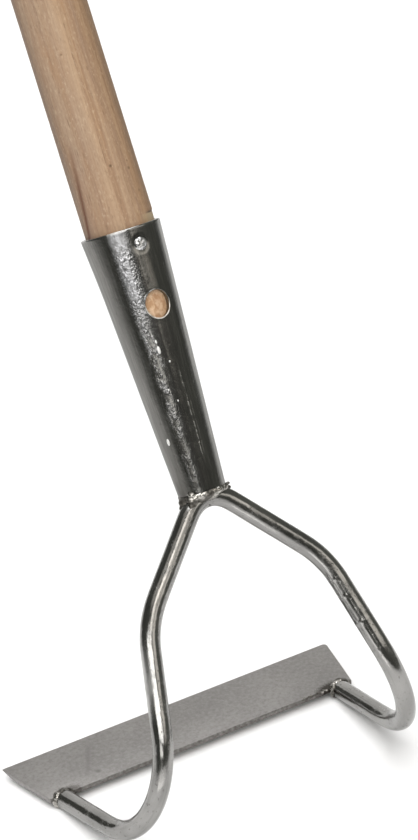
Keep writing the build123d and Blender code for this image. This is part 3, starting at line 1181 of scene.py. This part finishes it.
def soft_box(name, azimuth, elevation, half_width, half_height, radiance, colour,
             target=LOOK_AT, distance=LIGHT_DISTANCE):
    """Soft box that faces a target, given by the angles it fills from there and its brightness."""
    data = bpy.data.lights.new(name, "AREA")
    data.shape = "RECTANGLE"
    data.size = 2 * distance * math.tan(math.radians(half_width))
    data.size_y = 2 * distance * math.tan(math.radians(half_height))
    data.energy = radiance * math.pi * data.size * data.size_y
    data.color = colour
    light = aimed(name, data, azimuth, elevation)
    light.location = target + direction(azimuth, elevation) * distance
    light.visible_camera = False
    return light


def sun_light(name, azimuth, elevation, width, strength):
    data = bpy.data.lights.new(name, "SUN")
    data.angle = math.radians(width)
    data.energy = strength
    return aimed(name, data, azimuth, elevation)


def make_world():
    """Dim room round the hoe, a little brighter on the right, with a pale backdrop for the camera."""
    world = bpy.data.worlds.new("studio")
    bpy.context.scene.world = world
    world.use_nodes = True
    tree = world.node_tree
    tree.nodes.clear()
    path = node(tree, "ShaderNodeLightPath")
    right = split(Field(node(tree, "ShaderNodeTexCoord").outputs["Generated"]))[0]
    room_colour = mix(ramp(right, (0.2, 0.0), (0.8, 1.0)), tuple(0.85 * c for c in ROOM_TONE),
                      tuple(1.45 * c for c in ROOM_TONE))
    room = node(tree, "ShaderNodeBackground", Color=room_colour, Strength=1.0)
    diffuse = node(tree, "ShaderNodeBackground", Color=(1, 1, 0.985, 1), Strength=0.16)
    backdrop = node(tree, "ShaderNodeBackground", Color=(1, 1, 1, 1), Strength=1.0)
    lit = node(tree, "ShaderNodeMixShader",
               _0=path.outputs["Is Diffuse Ray"], _1=room.outputs[0], _2=diffuse.outputs[0])
    both = node(tree, "ShaderNodeMixShader",
                _0=path.outputs["Is Camera Ray"], _1=lit.outputs[0], _2=backdrop.outputs[0])
    node(tree, "ShaderNodeOutputWorld", Surface=both.outputs[0])


def make_lights():
    """Two suns, the soft boxes that draw the metal's bands, and two cards before the left hook."""
    overhead = sun_light("overhead", -95, 81, 70, 2.95)
    overhead.visible_glossy = False
    ceiling = sun_light("ceiling", 150, 84, 50, 1.72)
    ceiling.visible_diffuse = False
    soft_box("key", -40, 34.5, 22, 8, 3.6, (1.0, 0.99, 0.97))
    soft_box("warm_side", 26, 30, 24, 6.5, 1.15, (1.0, 0.95, 0.88))
    soft_box("warm_bridge", 4, 47, 9, 9, 0.95, (1.0, 0.95, 0.88))
    soft_box("warm_top", -27, 60, 9, 5, 2.6, WARM)
    soft_box("warm_join", -21, 49, 7, 7, 2.4, WARM)
    soft_box("high_left", -85, 60, 13, 6, 0.5, WARM)
    soft_box("backdrop", 162, 19, 29, 23, 0.72, (1.0, 0.985, 0.97))

    pale = (1.0, 0.985, 0.96)
    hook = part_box("stirrup_rod")[0] + HOOK_INSET
    high_card = soft_box("high_card", -46, 20.5, 14, 5.5, 2.2, pale, hook)
    high_card.visible_diffuse = False
    low_card = soft_box("low_card", -28, 3.5, 30, 12, 0.95, pale, hook, CARD_DISTANCE)
    low_card.visible_diffuse = False


def make_camera():
    data = bpy.data.cameras.new("camera")
    data.lens = CAMERA_LENS
    data.clip_end = 200
    camera = link("camera", data)
    back = direction(CAMERA_AZIMUTH, CAMERA_ELEVATION)
    upright = back.to_track_quat("Z", "Y").to_matrix()
    roll = Matrix.Rotation(-math.radians(CAMERA_ROLL), 3, "Z")
    camera.matrix_world = Matrix.Translation(LOOK_AT + back * CAMERA_DISTANCE) @ (upright @ roll).to_4x4()
    bpy.context.scene.camera = camera


def main():
    random.seed(SEED)
    make_camera()
    make_floor()
    make_floor_shade()
    make_world()
    make_lights()
    make_handle(ash_material())
    make_socket(socket_material(), drip_glint_material(), lip_highlight_material())
    make_rod(rod_material())
    make_blade(blade_material())
    recast("domed_screw", "socket_screw", screw_material(),
           0.08 * MM, 0.02 * MM, 0.8 * MM, 3)
    bead = weld_material()
    recast("foot_weld", "socket_weld", bead, 0.2 * MM, 0.26 * MM, 3.0 * MM, 6, foot_beads())
    recast("left_blade_weld", "blade_weld_left", bead, 0.15 * MM, 0.42 * MM, 1.7 * MM, 2)
    recast("right_blade_weld", "blade_weld_right", bead, 0.15 * MM, 0.42 * MM, 1.7 * MM, 2,
           weld_spatter())
    bpy.context.scene.view_settings.view_transform = "Standard"


main()
